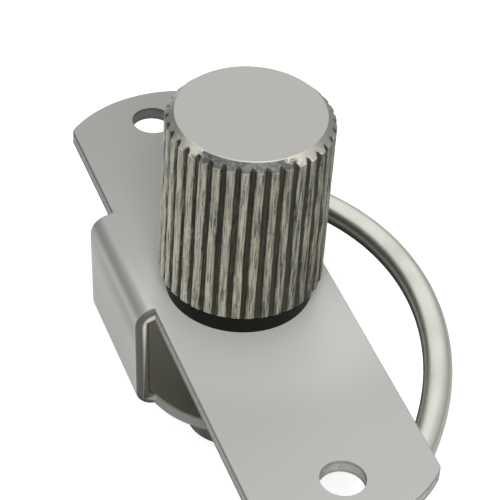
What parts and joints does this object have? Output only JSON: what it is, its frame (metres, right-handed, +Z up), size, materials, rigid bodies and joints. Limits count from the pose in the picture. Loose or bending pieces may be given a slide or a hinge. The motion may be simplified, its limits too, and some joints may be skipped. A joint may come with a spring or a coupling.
{
  "type": "spring-loaded panel latch",
  "caption": "spring-loaded panel latch: folded steel mounting plate, knurled pull knob on a sprung pin, and a wire pull bail behind",
  "frame": {"origin": "on the pin's axis, in the plate's top face, which rests against the back of the panel", "axes": "+Z up the pin's axis out of the panel's front, +X along the plate toward its longer end, -Y toward the folded wall"},
  "size_m": [0.0807, 0.0396, 0.0496],
  "materials": {
    "satin_sheet": "satin",
    "knurled_steel": "worn satin",
    "turned_steel": "satin",
    "polished_wire": "half polished",
    "spring_wire": "satin",
    "black_plastic": "satin"
  },
  "bodies": {
    "bracket": {"mounting_bracket": "satin_sheet", "guide_bush": "black_plastic", "spring_seat": "satin_sheet", "plunger_spring": "spring_wire"},
    "plunger": {"plunger": "turned_steel", "knob": "knurled_steel"},
    "bail": {"pull_bail": "polished_wire"}
  },
  "joints": [
    {"name": "plunger_lift", "type": "slide", "parent": "bracket", "child": "plunger", "axis": [0, 0, 1], "range_m": [0, 0.005], "stiffness_N_per_m": 2500, "springref_m": -0.004, "deforming": ["plunger_spring"]},
    {"name": "bail_swing", "type": "hinge", "parent": "plunger", "child": "bail", "pos_m": [0, 0, -0.01205], "axis": [1, 0, 0], "range_deg": [-208, 0.5]}
  ]
}
